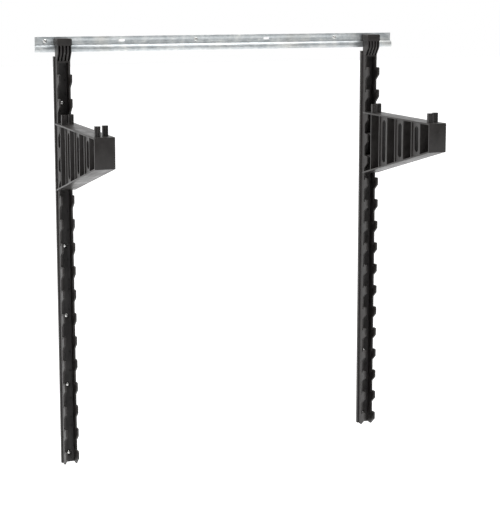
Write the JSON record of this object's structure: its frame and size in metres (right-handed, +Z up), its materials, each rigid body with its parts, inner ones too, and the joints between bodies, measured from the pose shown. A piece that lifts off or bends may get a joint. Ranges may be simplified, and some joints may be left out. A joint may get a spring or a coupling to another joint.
{
  "type": "hanging file rack",
  "caption": "Wall rail carrying toothed uprights and lift-off bracket arms, whose height is set on the teeth, for cross bars that hold hanging files.",
  "frame": {"origin": "back face of the wall rail (the wall plane), at the middle of the rail's length and on its line of fixing holes", "axes": "+X along the rail to the right as seen by a person facing the wall, +Y into the wall, +Z up; the arms reach out along -Y"},
  "size_m": [0.818, 0.3492, 0.9075],
  "materials": {
    "galvanised_steel": "spangled zinc, satin",
    "black_plastic": "moulded, fine texture",
    "arm_plastic": "moulded, slightly scuffed satin",
    "screw_steel": "bright zinc plated"
  },
  "bodies": {
    "rail": {"wall_rail": "galvanised_steel", "rail_screw_1": "screw_steel", "rail_screw_2": "screw_steel", "rail_screw_3": "screw_steel"},
    "left_upright": {"left_upright": "black_plastic", "left_upright_screw_1": "screw_steel", "left_upright_screw_2": "screw_steel", "left_upright_screw_3": "screw_steel", "left_upright_screw_4": "screw_steel", "left_upright_screw_5": "screw_steel", "left_upright_screw_6": "screw_steel"},
    "right_upright": {"right_upright": "black_plastic", "right_upright_screw_1": "screw_steel", "right_upright_screw_2": "screw_steel", "right_upright_screw_3": "screw_steel", "right_upright_screw_4": "screw_steel", "right_upright_screw_5": "screw_steel", "right_upright_screw_6": "screw_steel"},
    "left_arm": {"left_arm": "arm_plastic"},
    "right_arm": {"right_arm": "arm_plastic"}
  },
  "joints": [
    {"name": "left_upright_slide", "type": "slide", "parent": "rail", "child": "left_upright", "axis": [1, 0, 0], "range_m": [-0.035, 0.28]},
    {"name": "right_upright_slide", "type": "slide", "parent": "rail", "child": "right_upright", "axis": [1, 0, 0], "range_m": [-0.28, 0.04]},
    {"name": "left_arm_lift", "type": "slide", "parent": "left_upright", "child": "left_arm", "axis": [0, 0, 1], "range_m": [0, 0.008]},
    {"name": "right_arm_lift", "type": "slide", "parent": "right_upright", "child": "right_arm", "axis": [0, 0, 1], "range_m": [0, 0.008]}
  ]
}
